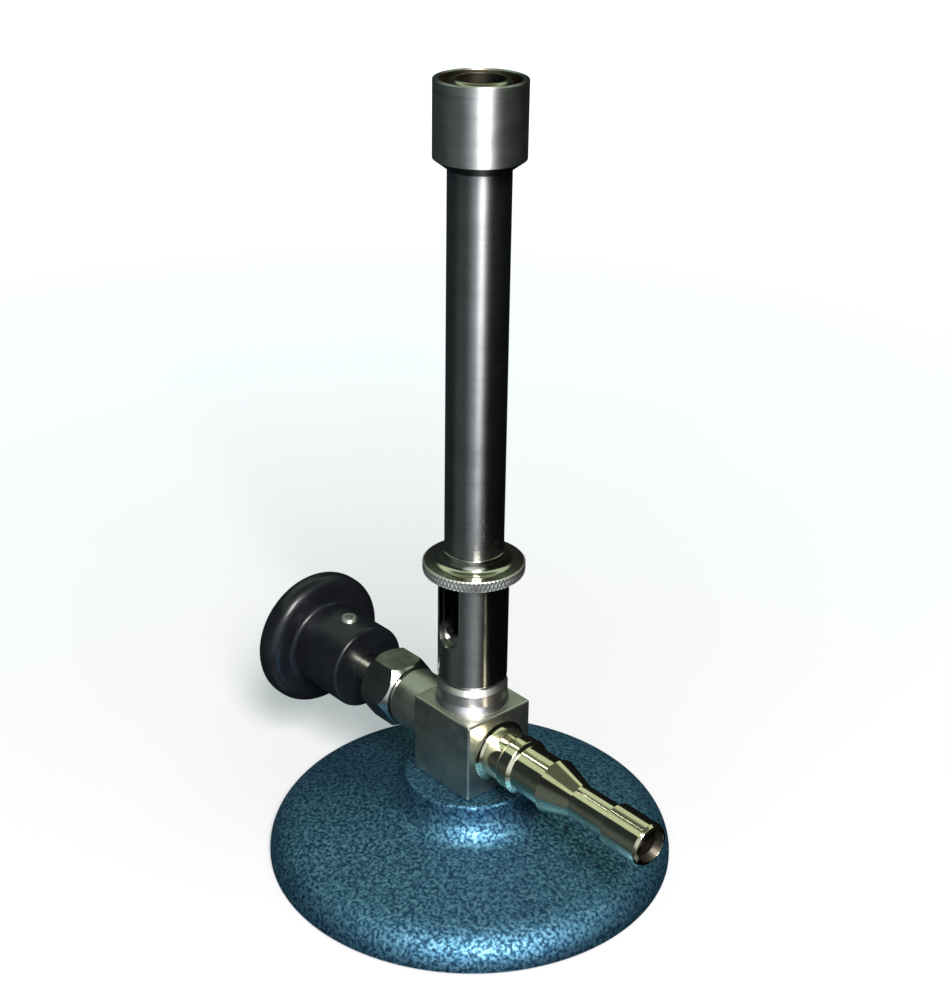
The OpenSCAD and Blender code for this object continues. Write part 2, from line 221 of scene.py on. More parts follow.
def stadium(r, z0, z1, top=True, steps=24):
    """An upright slot's outline, round at its lower end and, if wanted, at the upper."""
    points = [(r * math.cos(math.pi + math.pi * i / steps), z0 + r * math.sin(math.pi + math.pi * i / steps))
              for i in range(steps + 1)]
    if top:
        points += [(r * math.cos(math.pi * i / steps), z1 + r * math.sin(math.pi * i / steps))
                   for i in range(steps + 1)]
    else:
        points += [(r, z1), (-r, z1)]
    return points


def settle(obj):
    """Applies the modifiers."""
    bpy.context.view_layer.update()
    dg = bpy.context.evaluated_depsgraph_get()
    mesh = bpy.data.meshes.new_from_object(obj.evaluated_get(dg))
    obj.modifiers.clear()
    obj.data = mesh
    mesh.name = obj.name


def carve(obj, tools, how="DIFFERENCE"):
    for tool in tools:
        mod = obj.modifiers.new("carve", "BOOLEAN")
        mod.operation = how
        mod.solver = "EXACT"
        mod.object = tool
    settle(obj)
    for tool in tools:
        bpy.data.objects.remove(tool)


def break_edges(obj, width, angle=40, segments=2):
    """Takes the sharpness off the edges steeper than that angle."""
    mod = obj.modifiers.new("edges", "BEVEL")
    mod.width = width * MM
    mod.segments = segments
    mod.limit_method = "ANGLE"
    mod.angle_limit = math.radians(angle)
    mod.miter_outer = "MITER_ARC"
    settle(obj)


def finish(obj, body, nodes, material, angle=30):
    """Shading, finish and place in the frame."""
    mesh = obj.data
    mesh.shade_smooth()
    mesh.set_sharp_from_angle(angle=math.radians(angle))
    mod = obj.modifiers.new("normals", "WEIGHTED_NORMAL")
    mod.keep_sharp = True
    mesh.materials.clear()
    mesh.materials.append(material)
    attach(obj, body)
    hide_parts(*nodes)
    return obj


# ---------------------------------------------------------------- materials
class Paint:
    """A small helper for one node material."""

    def __init__(self, name, **sockets):
        self.mat = bpy.data.materials.new(name)
        self.mat.use_nodes = True
        self.nt = self.mat.node_tree
        self.bsdf = self.nt.nodes["Principled BSDF"]
        for key, value in sockets.items():
            self.bsdf.inputs[key.replace("_", " ")].default_value = value
        self.coords = self.nt.nodes.new("ShaderNodeTexCoord").outputs["Object"]

    def node(self, kind, links=(), **props):
        n = self.nt.nodes.new(kind)
        for key, value in props.items():
            setattr(n, key, value)
        for socket, source in dict(links).items():
            if isinstance(source, bpy.types.NodeSocket):
                self.nt.links.new(source, n.inputs[socket])
            else:
                n.inputs[socket].default_value = source
        return n

    def link(self, source, socket):
        self.nt.links.new(source, self.bsdf.inputs[socket])

    def stretch(self, scale, turn=(0, 0, 0)):
        links = {"Vector": self.coords, "Scale": scale, "Rotation": turn}
        return self.node("ShaderNodeMapping", links).outputs[0]

    def noise(self, scale=1.0, detail=2.0, rough=0.5, vector=None, distort=0.0):
        links = {"Vector": vector or self.coords, "Scale": scale, "Detail": detail,
                 "Roughness": rough, "Distortion": distort}
        return self.node("ShaderNodeTexNoise", links).outputs["Fac"]

    def ramp(self, fac, stops, smooth=False):
        n = self.node("ShaderNodeValToRGB", {"Fac": fac})
        r = n.color_ramp
        if smooth:
            r.interpolation = "EASE"
        while len(r.elements) < len(stops):
            r.elements.new(0.5)
        for element, (place, colour) in zip(r.elements, stops):
            element.position = place
            element.color = (*colour, 1) if len(colour) == 3 else colour
        return n.outputs["Color"]

    def span(self, value, lo, hi, a, b):
        return self.node("ShaderNodeMapRange", {"Value": value, "From Min": lo, "From Max": hi,
                                                "To Min": a, "To Max": b}).outputs["Result"]

    def math(self, how, a, b):
        return self.node("ShaderNodeMath", {0: a, 1: b}, operation=how).outputs[0]

    def mix(self, fac, a, b, how="MIX"):
        n = self.node("ShaderNodeMix", {0: fac}, data_type="RGBA", blend_type=how)
        for socket, source in ((n.inputs[6], a), (n.inputs[7], b)):
            if isinstance(source, bpy.types.NodeSocket):
                self.nt.links.new(source, socket)
            else:
                socket.default_value = (*source, 1)
        return n.outputs[2]

    def bump(self, *layers):
        """Layers (height, depth in mm), stacked."""
        normal = None
        for height, depth in layers:
            links = {"Height": height, "Distance": depth * MM, "Strength": 1.0}
            if normal:
                links["Normal"] = normal
            normal = self.node("ShaderNodeBump", links).outputs["Normal"]
        self.link(normal, "Normal")

    def turned_grain(self, axis, amount, turn=0.25):
        """Highlights run along the axis of a part whose fine marks go round it."""
        self.bsdf.inputs["Anisotropic"].default_value = amount
        self.bsdf.inputs["Anisotropic Rotation"].default_value = turn
        tangent = self.node("ShaderNodeTangent", direction_type="RADIAL", axis=axis)
        self.link(tangent.outputs["Tangent"], "Tangent")


def turned_metal(name, axis, dark, light, rough, grain,
                 stain=0.2, uneven=0.03, scratches=0.0, wavy=0.003, along=None):
    """Metal finished on a lathe: faint rings and stains, a slightly uneven polish, a few scratches.
    along = (z0, z1, change) alters the roughness from one height to the other."""
    p = Paint(name, Metallic=1.0)
    soft = (90, 90, 2600) if axis == "Z" else (2600, 90, 90)
    rings = p.noise(1.0, 3.0, 0.6, p.stretch(soft))
    smudge = p.noise(1.0, 3.0, 0.6, p.stretch([c / 3 for c in soft]), 0.8)
    cloud = p.noise(150, 4.0, 0.6, distort=0.6)
    colour = p.ramp(cloud, [(0.3, dark), (0.72, light)])
    p.link(p.mix(p.span(smudge, 0.5, 0.72, 0.0, stain), colour, [c * 0.45 for c in dark]), "Base Color")
    wear = p.math("ADD", p.span(rings, 0.3, 0.7, -uneven, uneven),
                  p.span(cloud, 0.35, 0.7, rough - uneven / 2, rough + uneven))
    if along:
        height = p.node("ShaderNodeSeparateXYZ", {0: p.coords}).outputs["Z"]
        wear = p.math("ADD", wear, p.span(height, along[0] * MM, along[1] * MM, 0.0, along[2]))
    if scratches:
        thin = p.noise(1.0, 0.0, 0.5, p.stretch((500, 500, 6200), (0.62, 0.35, 0.2)))
        line = p.span(thin, 0.70, 0.76, 0.0, 1.0)
        patch = p.span(p.noise(60, 1.0), 0.53, 0.62, 0.0, scratches)
        wear = p.math("ADD", wear, p.math("MULTIPLY", line, patch))
    p.link(wear, "Roughness")
    if wavy:
        p.bump((cloud, wavy), (rings, wavy / 8))
    if grain:
        p.turned_grain(axis, grain)
    return p.mat


def dressed_metal(name, dark, light, rough, wavy=0.01):
    """Flats of a nut: close-grained, nearly smooth, with handling marks."""
    p = Paint(name, Metallic=1.0)
    cloud = p.noise(260, 4.0, 0.6)
    grain = p.noise(2400, 2.0, 0.6)
    p.link(p.ramp(cloud, [(0.3, dark), (0.7, light)]), "Base Color")
    p.link(p.math("ADD", p.span(grain, 0.3, 0.7, -0.02, 0.02),
                  p.span(cloud, 0.3, 0.7, rough - 0.03, rough + 0.04)), "Roughness")
    p.bump((cloud, wavy))
    return p.mat


def hammered_paint():
    """Blue hammer finish: pale metallic cells, dark veins between them, a thin clear film on top."""
    p = Paint("hammered_paint", Metallic=1.0, Coat_Weight=0.05, Coat_Roughness=0.3)
    cells = p.noise(1500, 1.3, 0.5, distort=0.25)
    fine = p.noise(3200, 1.0, 0.5)
    drift = p.noise(60, 2.0, 0.5)
    mixed = p.math("ADD", p.math("MULTIPLY", cells, 0.82), p.math("MULTIPLY", fine, 0.18))
    tint = p.ramp(mixed, [(0.37, (0.014, 0.050, 0.098)), (0.46, (0.044, 0.130, 0.215)),
                          (0.55, (0.100, 0.252, 0.380)), (0.67, (0.195, 0.405, 0.545))])
    p.link(p.mix(p.span(drift, 0.35, 0.7, 0.0, 0.2), tint, (0.05, 0.14, 0.21)), "Base Color")
    p.link(p.span(mixed, 0.42, 0.6, 0.63, 0.53), "Roughness")
    p.bump((mixed, 0.05), (drift, 0.15))
    return p.mat


def milled_metal(name, dark, light, rough):
    """Bar stock with straight saw and mill marks on each face."""
    p = Paint(name, Metallic=1.0)
    lines = p.noise(1.0, 3.0, 0.6, p.stretch((900, 900, 9000)))
    cross = p.noise(1.0, 2.0, 0.6, p.stretch((160, 160, 1500), (0.0, 0.5, 0.1)))
    cloud = p.noise(140, 5.0, 0.62)
    marked = p.span(cross, 0.4, 0.75, 0.0, 0.5)
    stock = p.ramp(cloud, [(0.32, dark), (0.7, light)])
    p.link(p.mix(marked, stock, dark), "Base Color")
    p.link(p.math("ADD", p.span(lines, 0.3, 0.7, -0.06, 0.06),
                  p.span(cloud, 0.3, 0.7, rough - 0.05, rough + 0.07)), "Roughness")
    p.bump((lines, 0.006), (cloud, 0.02))
    return p.mat


def resin():
    """Moulded black resin, satin where it is handled."""
    p = Paint("black_resin", Coat_Weight=0.15, Coat_Roughness=0.12)
    p.bsdf.inputs["Specular IOR Level"].default_value = 0.28
    grain = p.noise(3800, 2.0, 0.6)
    cloud = p.noise(150, 4.0, 0.6)
    p.link(p.ramp(cloud, [(0.3, (0.0045, 0.005, 0.007)), (0.7, (0.009, 0.010, 0.013))]), "Base Color")
    p.link(p.span(cloud, 0.3, 0.7, 0.26, 0.40), "Roughness")
    p.bump((grain, 0.012), (cloud, 0.05))
    return p.mat


def plain_stock(name, dark, light, rough, metallic, scale, depth):
    """Washers, packings and other small hidden parts."""
    p = Paint(name, Metallic=metallic)
    cloud = p.noise(scale, 4.0, 0.6)
    p.link(p.ramp(cloud, [(0.3, dark), (0.7, light)]), "Base Color")
    p.link(p.span(cloud, 0.3, 0.7, rough - 0.08, rough + 0.08), "Roughness")
    p.bump((p.noise(scale * 6, 2.0), depth))
    return p.mat


paint = hammered_paint()
satin = milled_metal("satin_nickel", dark=(0.42, 0.43, 0.38), light=(0.60, 0.60, 0.54), rough=0.36)
nut_nickel = dressed_metal(
    "satin_nickel_nut", dark=(0.34, 0.35, 0.31), light=(0.48, 0.49, 0.45), rough=0.20, wavy=0.004)
barb_nickel = turned_metal(
    "bright_nickel_barb", "X", dark=(0.66, 0.61, 0.42), light=(0.80, 0.74, 0.55), rough=0.09,
    grain=0.4, stain=0.1, uneven=0.015)
seat_nickel = turned_metal(
    "bright_nickel_seat", "Z", dark=(0.60, 0.57, 0.55), light=(0.78, 0.74, 0.72), rough=0.34,
    grain=0.6, stain=0.15, uneven=0.04)
seat_polish = turned_metal(
    "bright_nickel_seat_cone", "Z", dark=(0.74, 0.72, 0.72), light=(0.86, 0.84, 0.84), rough=0.30,
    grain=0.0, stain=0.1, uneven=0.02)
knurl_nickel = turned_metal(
    "bright_nickel_collar", "Z", dark=(0.50, 0.49, 0.40), light=(0.66, 0.65, 0.55), rough=0.14,
    grain=0.3, stain=0.15, uneven=0.02)
knurl_edge = turned_metal(
    "bright_nickel_knurl", "Z", dark=(0.62, 0.61, 0.57), light=(0.80, 0.79, 0.75), rough=0.42,
    grain=0.0, stain=0.1, uneven=0.04)
stem_nickel = turned_metal(
    "bright_nickel_stem", "X", dark=(0.55, 0.54, 0.45), light=(0.68, 0.67, 0.58), rough=0.16,
    grain=0.5, stain=0.1, uneven=0.02)
tube_nickel = turned_metal(
    "dark_nickel_tube", "Z", dark=(0.31, 0.31, 0.31), light=(0.40, 0.40, 0.40), rough=0.26, grain=0.92,
    stain=0.2, uneven=0.008, scratches=0.06, wavy=0.001, along=(66, 138, 0.15))
tube_end = turned_metal(
    "dark_nickel_tube_end", "Z", dark=(0.34, 0.32, 0.22), light=(0.52, 0.50, 0.38), rough=0.20,
    grain=0.0, stain=0.2, uneven=0.03)
# near black: soot inside the burner tube, and painted shade in the bores, where little light reaches
bore_soot_and_shade = turned_metal(
    "bore_soot_and_painted_shade", "Z", dark=(0.05, 0.045, 0.035), light=(0.12, 0.10, 0.08), rough=0.45,
    grain=0.0, stain=0.4, uneven=0.05)
sleeve_nickel = turned_metal(
    "dark_nickel_sleeve", "Z", dark=(0.38, 0.37, 0.35), light=(0.48, 0.47, 0.45), rough=0.20,
    grain=0.93, stain=0.1, uneven=0.006, scratches=0.0, wavy=0.0)
cup_nickel = turned_metal(
    "brushed_nickel", "Z", dark=(0.50, 0.51, 0.50), light=(0.68, 0.69, 0.69), rough=0.47, grain=0.9,
    stain=0.35, uneven=0.035, scratches=0.1, wavy=0.004)
# painted shade: the cup's lower cone faces down, away from the lights, and is coloured near black
cup_cone_painted_shade = turned_metal(
    "nickel_cone_painted_shade", "Z", dark=(0.035, 0.036, 0.036), light=(0.06, 0.06, 0.06), rough=0.30,
    grain=0.0, stain=0.2, uneven=0.03)
cup_inside = turned_metal(
    "brushed_nickel_inside", "Z", dark=(0.14, 0.115, 0.07), light=(0.27, 0.24, 0.16), rough=0.36,
    grain=0.0, stain=0.4, uneven=0.05)
BRASS = {"dark": (0.50, 0.34, 0.12), "light": (0.74, 0.54, 0.24), "rough": 0.25, "grain": 0.3}
brass = turned_metal("brass", "X", **BRASS)
brass_up = turned_metal("brass_jet", "Z", **BRASS)
zinc = turned_metal(
    "zinc_steel", "Z", dark=(0.40, 0.42, 0.43), light=(0.60, 0.61, 0.62), rough=0.33, grain=0.2)
resin_black = resin()
spring_steel = plain_stock(
    "spring_steel", dark=(0.16, 0.16, 0.17), light=(0.30, 0.30, 0.31), rough=0.42, metallic=1.0,
    scale=400, depth=0.01)
bronze = plain_stock(
    "bronze", dark=(0.34, 0.19, 0.08), light=(0.52, 0.32, 0.16), rough=0.35, metallic=1.0, scale=400,
    depth=0.01)
fibre = plain_stock(
    "fibre", dark=(0.20, 0.055, 0.03), light=(0.30, 0.10, 0.055), rough=0.8, metallic=0.0, scale=700,
    depth=0.05)
graphite = plain_stock(
    "graphite", dark=(0.02, 0.02, 0.022), light=(0.05, 0.05, 0.055), rough=0.55, metallic=0.2,
    scale=600, depth=0.03)


def zone(obj, material, test, axis="z"):
    """A different material for some faces: another finish, or a painted shade. The test gets a face's radius
    and place along the axis.
    """
    obj.data.materials.append(material)
    index = len(obj.data.materials) - 1
    for face in obj.data.polygons:
        c = face.center
        r, h = (math.hypot(c.y, c.z - AXIS * MM), c.x) if axis == "x" else (math.hypot(c.x, c.y), c.z)
        if test(mm(r), mm(h)):
            face.material_index = index


# ---------------------------------------------------------------- the burner
# foot: cast plate with a flared pedestal; underneath, a hollow ring round a boss for the screw
PLATE_H = 10.0
PLATE_SLOPE = 12
SEAT_R = 12.4
SHOULDER = 0.7
FLARE = 6.3
RIM_H = 0.9
RIM_RX = 10.0
RIM_RZ = 6.5
SCREW_HOLE_R = 2.75
RECESS_R = 6.5
RECESS_TOP = 8.0
FOOT_BOSS_R = 9.5
HOLLOW_R = 34.0
HOLLOW_TOP = 3.0
wall_r = SEAT_R + SHOULDER
rim_end = math.degrees(math.atan(RIM_RZ / (RIM_RX * math.tan(math.radians(PLATE_SLOPE)))))
foot = turned("foot_casting", [
    (SCREW_HOLE_R, RECESS_TOP, 0.2), (RECESS_R, RECESS_TOP), (RECESS_R, 0.0, 0.4), (FOOT_BOSS_R, 0.0, 0.5),
    (FOOT_BOSS_R, HOLLOW_TOP, 0.6), (HOLLOW_R, HOLLOW_TOP, 0.8), (HOLLOW_R, 0.0, 0.4),
    (FOOT_R - RIM_H / 2, 0.0, 0.3), (FOOT_R, RIM_H / 2)]
    + arc(FOOT_R - RIM_RX, RIM_H, RIM_RX, RIM_RZ, 0, rim_end, 28)
    + arc(wall_r + FLARE, PLATE_H + FLARE, FLARE, FLARE, 270 - PLATE_SLOPE, 180, 18)
    + arc(SEAT_R, FOOT_H - SHOULDER, SHOULDER, SHOULDER, 0, 90, 6)
    + [(SCREW_HOLE_R, FOOT_H)], seg=224)
finish(foot, "burner", ["base"], paint)

# foot screw, head down, with a straight slot
SCREW_R = 2.45
SCREW_END = 20.6
HEAD_R = 4.25
HEAD_LOW = 2.4
HEAD_HIGH = 5.8
DRIVE_HALF = 0.6
DRIVE_HIGH = 3.9
screw = turned("foot_screw", [
    (0, HEAD_LOW), (HEAD_R, HEAD_LOW, 0.35), (HEAD_R, HEAD_HIGH, 0.1), (SCREW_R, HEAD_HIGH),
    (SCREW_R, SCREW_END - 0.4), (SCREW_R - 0.35, SCREW_END), (0, SCREW_END)], seg=96)
drive = [(-6, -DRIVE_HALF), (6, -DRIVE_HALF), (6, DRIVE_HALF), (-6, DRIVE_HALF)]
carve(screw, [prism(drive, "z", 1.0, DRIVE_HIGH)])
finish(screw, "burner", ["base_screw"], zinc)

# valve block: square bar with a round gland boss, drilled through along its axis
EDGE = 0.45


def block_solid():
    bm = bmesh.new()
    bmesh.ops.create_cube(bm, size=1.0)
    size = (2 * BLOCK_R * MM, 2 * BLOCK_R * MM, (BLOCK_TOP - FOOT_H) * MM)
    bmesh.ops.scale(bm, vec=size, verts=bm.verts)
    bmesh.ops.translate(bm, vec=(0, 0, (BLOCK_TOP + FOOT_H) / 2 * MM), verts=bm.verts)
    bmesh.ops.bevel(bm, geom=bm.edges[:], offset=EDGE * MM, segments=3, profile=0.5, affect="EDGES")
    return thing("valve_block", bm)


BOSS_R = 6.1
block = block_solid()
boss = turned("boss", [(0, 0), (BOSS_R, 0), (BOSS_R, BOSS_X, 0.4), (0, BOSS_X)], "-x", seg=128)
carve(block, [boss], "UNION")
carve(block, [
    stepped("inlet", 3.2, (4.0, 12), axis="+x"),
    stepped("way", -5.0, (3.0, 1.9), (1.2, 4.0), axis="+x"),
    stepped("gland_bore", 4.0, (3.45, 13.0), (4.4, 20), axis="-x"),
    stepped("outlet", AXIS, (1.5, 31.35), (4.55, 36)),
    stepped("screw_hole", 16, (SCREW_R + 0.05, SCREW_END + 0.05)),
])
finish(block, "burner", ["valve_body"], satin)

# hose barb: flange, neck, bead, two barbs, countersunk mouth
BARB_BORE_R = 2.4
BARB_THREAD_R = 3.95
FLANGE_R = 6.6
NECK_R = 5.1
BEAD_R = 5.5
SHANK_R = 4.8
STEM_R = 3.35
MOUTH_R = 3.1
x0 = BLOCK_R
barb = turned("hose_barb_turned", [
    (BARB_BORE_R, x0 - 4.6), (BARB_THREAD_R, x0 - 4.6), (BARB_THREAD_R, x0 + 0.02),
    (FLANGE_R, x0 + 0.02, 0.1), (BEAD_R, x0 + 0.5, 0.3), (NECK_R, x0 + 1.0, 0.3), (NECK_R, x0 + 4.8, 0.15),
    (BEAD_R, x0 + 5.2, 0.2), (BEAD_R, x0 + 7.7, 0.2), (SHANK_R, x0 + 8.3, 0.15), (SHANK_R, x0 + 15.3, 0.05),
    (5.35, x0 + 15.5, 0.12), (STEM_R, x0 + 22.1, 0.15), (STEM_R, x0 + 31.0, 0.05),
    (4.2, x0 + 31.2, 0.12), (4.1, BARB_X1 - 0.9, 0.3), (3.8, BARB_X1 - 0.3, 0.25), (3.3, BARB_X1, 0.1),
    (MOUTH_R, BARB_X1, 0.06), (BARB_BORE_R, BARB_X1 - 1.4, 0.3)], "+x", seg=160)
finish(barb, "burner", ["hose_barb"], barb_nickel)
# painted shade: the barb's bore and countersunk mouth are coloured near black
zone(barb, bore_soot_and_shade, lambda r, x: r < MOUTH_R - 0.05, "x")

# seat ring under the tube: spigot in the block, foot ring, band, cone, register for the tube
SEAT_BORE_R = 2.95
SPIGOT_R = 4.5
SPIGOT_LOW = 31.4
RING_R = 7.2
BAND_R = 6.85
BAND_LOW = 35.8
BAND_HIGH = 38.1
REGISTER_R = 4.1
CONE_TOP = 39.1
seat = turned("tube_seat_turned", [
    (SEAT_BORE_R, SPIGOT_LOW), (SPIGOT_R, SPIGOT_LOW), (SPIGOT_R, BLOCK_TOP + 0.02),
    (RING_R, BLOCK_TOP + 0.02, 0.1), (RING_R, BLOCK_TOP + 0.6, 0.2), (6.5, BAND_LOW, 0.1),
    (BAND_R, BAND_LOW, 0.12), (BAND_R, BAND_HIGH, 0.15), (5.9, CONE_TOP, 0.08), (REGISTER_R, CONE_TOP),
    (REGISTER_R, SEAT_TOP, 0.15), (SEAT_BORE_R, SEAT_TOP)], seg=160)
finish(seat, "burner", ["tube_seat"], seat_nickel)
zone(seat, seat_polish, lambda r, z: z < BAND_LOW + 0.1 or z > BAND_HIGH - 0.1)

# burner tube with its air ports, clip groove and pilot holes
TUBE_BORE_R = 4.15
GROOVE_R = 5.0
GROOVE_LOW = 42.4
GROOVE_HIGH = 43.6
PORT_R = 2.5
PILOT_R = 0.6
PILOT_H = 143.5
PILOT_SIDES = 24
tube = turned("burner_tube_turned", [
    (TUBE_BORE_R, TUBE_Z0), (TUBE_R, TUBE_Z0), (TUBE_R, GROOVE_LOW), (GROOVE_R, GROOVE_LOW),
    (GROOVE_R, GROOVE_HIGH), (TUBE_R, GROOVE_HIGH)]
    + arc(TUBE_R - 1.1, TUBE_Z1 - 1.4, 1.1, 1.4, 0, 86, 12)
    + [(TUBE_BORE_R, TUBE_Z1, 0.12)], seg=160)
carve(tube, [prism(stadium(PORT_R, 52.1, 59.3), "y", -9, 9)])


def pilot(turn):
    """One pilot hole's drill, right through the tube."""
    steps = [TAU * i / PILOT_SIDES for i in range(PILOT_SIDES)]
    drill = prism([(PILOT_R * math.cos(a), PILOT_H + PILOT_R * math.sin(a)) for a in steps], "y", -8, 8)
    drill.data.transform(Matrix.Rotation(turn, 4, "Z"))
    return drill


for k in range(4):
    carve(tube, [pilot(TAU * k / 8)])
finish(tube, "burner", ["burner_tube"], tube_nickel)
zone(tube, tube_end, lambda r, z: z > TUBE_Z1 - 1.5 and r > TUBE_BORE_R + 0.05)
# the tube's bore: soot, with painted shade inside it
zone(tube, bore_soot_and_shade, lambda r, z: r < TUBE_BORE_R + 0.05)

# flame-holder cup
CUP_BORE_R = 7.0
CUP_CONE = 1.8
CUP_FLOOR = 3.5
cup = turned("flame_cup_turned", [
    (TUBE_R + 0.02, CUP_Z0), (CUP_R, CUP_Z0 + CUP_CONE, 0.12), (CUP_R, CUP_Z1, 0.22),
    (CUP_BORE_R, CUP_Z1, 0.22), (CUP_BORE_R, CUP_Z0 + CUP_FLOOR, 0.3), (TUBE_R + 0.02, CUP_Z0 + CUP_FLOOR)],
    seg=192)
finish(cup, "burner", ["flame_cup"], cup_nickel)
cone_end = CUP_Z0 + CUP_CONE - 0.05
# painted shade on the cup's downward-facing cone
zone(cup, cup_cone_painted_shade, lambda r, z: z < cone_end)
zone(cup, cup_inside, lambda r, z: z > cone_end and r < CUP_BORE_R + 0.05)

# air sleeve with its two slots, thinner above for the collar
SLEEVE_BORE_R = 5.61
SLEEVE_STEP = 62.0
COLLAR_BORE_R = 6.22
SLOT_R = 2.7
SLOT_LOW = 50.2
sleeve = turned("air_sleeve_turned", [
    (SLEEVE_BORE_R, SLEEVE_Z0), (5.87, SLEEVE_Z0), (SLEEVE_R, SLEEVE_Z0 + 0.8, 0.2), (SLEEVE_R, SLEEVE_STEP),
    (COLLAR_BORE_R - 0.02, SLEEVE_STEP), (COLLAR_BORE_R - 0.02, SLEEVE_TOP), (SLEEVE_BORE_R, SLEEVE_TOP)],
    seg=160)
carve(sleeve, [prism(stadium(SLOT_R, SLOT_LOW, 70, False), "y", -12, 12)])
finish(sleeve, "air_sleeve", ["air_sleeve"], sleeve_nickel)

# collar: diamond knurl on the rim, polished top, low hub with a fillet
TEETH = 78
ROWS = 1.22
DEPTH = 0.20
PROUD = 0.06
KNURL_STEPS = 36
HUB_FILLET = 1.5
HUB_R = 5.95
rim0 = COLLAR_Z0
rim1 = 64.2


def knurl(r, h, a):
    """Two crossed sets of V grooves, fading out at the rim's edges."""
    if r < COLLAR_R - 0.05 or not rim0 - 0.01 <= h <= rim1 + 0.01:
        return r
    v = (h - rim0) / (rim1 - rim0)
    u = a / TAU * TEETH
    one, two = (abs((u + s * v * ROWS) % 1 - 0.5) * 2 for s in (1, -1))
    return r + PROUD - DEPTH * (1 - min(one, two)) * min(1, 9 * v, 9 * (1 - v))


rows = [(COLLAR_R, rim0 + 0.22 + (rim1 - rim0 - 0.44) * i / KNURL_STEPS) for i in range(KNURL_STEPS + 1)]
collar = turned("knurled_collar_turned", [
    (COLLAR_BORE_R, rim0), (COLLAR_R - 0.3, rim0, 0.08)] + rows + [(COLLAR_R - 0.3, rim1, 0.1)]
    + arc(HUB_R + HUB_FILLET, rim1 + HUB_FILLET, HUB_FILLET, HUB_FILLET, 270, 180, 12)
    + [(HUB_R, HUB_TOP, 0.2), (SLEEVE_BORE_R, HUB_TOP, 0.05), (SLEEVE_BORE_R, SLEEVE_TOP + 0.02),
       (COLLAR_BORE_R, SLEEVE_TOP + 0.02)], seg=10 * TEETH, steps=3, shape=knurl)
finish(collar, "air_sleeve", ["knurled_collar"], knurl_nickel, angle=40)
zone(collar, knurl_edge, lambda r, z: r > COLLAR_R - 0.3)

# gland nut: chamfered hexagon, groove, spigot
NUT_X0 = 18.3
CHAMFER = 1.5
CHAMFER_R = 6.2
NUT_SPIGOT_R = 4.35
GROOVE_BED_R = 5.4
SPINDLE_HOLE_R = 3.05
nut = prism(hexagon(NUT_AF, TAU / 12), "-x", NUT_X0, NUT_X1)
nut.name = "gland_nut_hex"
corner_r = NUT_AF / 2 / math.cos(TAU / 12)
carve(nut, [turned("chamfers", [
    (0, NUT_X0), (CHAMFER_R, NUT_X0), (corner_r, NUT_X0 + CHAMFER), (corner_r, NUT_X1 - CHAMFER),
    (CHAMFER_R, NUT_X1), (0, NUT_X1)], "-x", seg=192)], "INTERSECT")
neck = stepped("neck", 16.93, (NUT_SPIGOT_R, BOSS_X + 0.02), (GROOVE_BED_R, 19.0), axis="-x", seg=128)
carve(nut, [neck], "UNION")
carve(nut, [stepped("way", 12, (SPINDLE_HOLE_R, 30), axis="-x", seg=96)])
break_edges(nut, 0.10, 25)
finish(nut, "burner", ["gland_nut"], nut_nickel)

# spindle: rod, packing land, thin shank and needle point
SPINDLE_R = 3.0
SPINDLE_END = -44
LAND_R = 3.4
LAND_X0 = -11
LAND_X1 = -6.5
NEEDLE_TIP = 3.3
SHANK_THIN_R = 1.9
spindle = turned("needle_spindle_turned", [
    (0, SPINDLE_END), (SPINDLE_R, SPINDLE_END, 0.2), (SPINDLE_R, LAND_X0), (LAND_R, LAND_X0, 0.2),
    (LAND_R, LAND_X1, 0.3), (SHANK_THIN_R, LAND_X1), (SHANK_THIN_R, 0.4), (0.45, NEEDLE_TIP, 0.1),
    (0, NEEDLE_TIP)], "+x", seg=96)
finish(spindle, "spindle", ["needle_spindle"], stem_nickel)

# knob: neck, hollow sweep into a wide rim, shallow dish on the end face
KNOB_NECK_R = 8.9
NECK_EDGE = 0.8
SWEEP = 1.2
RIM_EDGE = 2.6
BUSH_HOLE_R = 4.5
GRUB_HOLE_R = 2.05
RIM_X = KNOB_X1 - 6.2
rim_mid = KNOB_R - RIM_EDGE
knob = turned("knob_moulding", [
    (0, KNOB_X0), (KNOB_NECK_R - NECK_EDGE, KNOB_X0)]
    + arc(KNOB_NECK_R - NECK_EDGE, KNOB_X0 + NECK_EDGE, NECK_EDGE, NECK_EDGE, 270, 360, 8)
    + arc(KNOB_NECK_R + SWEEP, RIM_X - SWEEP, SWEEP, SWEEP, 180, 90, 8)
    + arc(rim_mid, RIM_X + RIM_EDGE, RIM_EDGE, RIM_EDGE, 270, 360, 12)
    + arc(rim_mid, KNOB_X1 - RIM_EDGE, RIM_EDGE, RIM_EDGE, 0, 90, 12)
    + [(9.4, KNOB_X1, 0.4), (8.6, KNOB_X1 - 0.5, 0.6), (4.5, KNOB_X1 - 1.0), (0, KNOB_X1 - 1.2)],
    "-x", seg=192)
carve(knob, [stepped("socket", 30, (SPINDLE_HOLE_R, 34), (BUSH_HOLE_R, 45), axis="-x", seg=128),
             stepped("grub_way", 1.0, (GRUB_HOLE_R, 20), at=(GRUB_X, 0, AXIS))])
break_edges(knob, 0.15, 50)
finish(knob, "knob", ["knob"], resin_black)

# grub screw with its hexagon socket
GRUB_R = 2.0
GRUB_LOW = 3.05
KEY_AF = 1.6
grub_high = GRUB_TOP - AXIS
grub = turned("grub_screw", [
    (0, GRUB_LOW), (GRUB_R, GRUB_LOW, 0.1), (GRUB_R, grub_high - 0.5, 0.15), (GRUB_R - 0.5, grub_high, 0.15),
    (0, grub_high)], "z", (GRUB_X, 0, AXIS), seg=64)
carve(grub, [prism(hexagon(KEY_AF), "z", GRUB_TOP - KEY_AF, GRUB_TOP + 1, (GRUB_X, 0, 0))])
finish(grub, "knob", ["knob_grub_screw"], zinc)

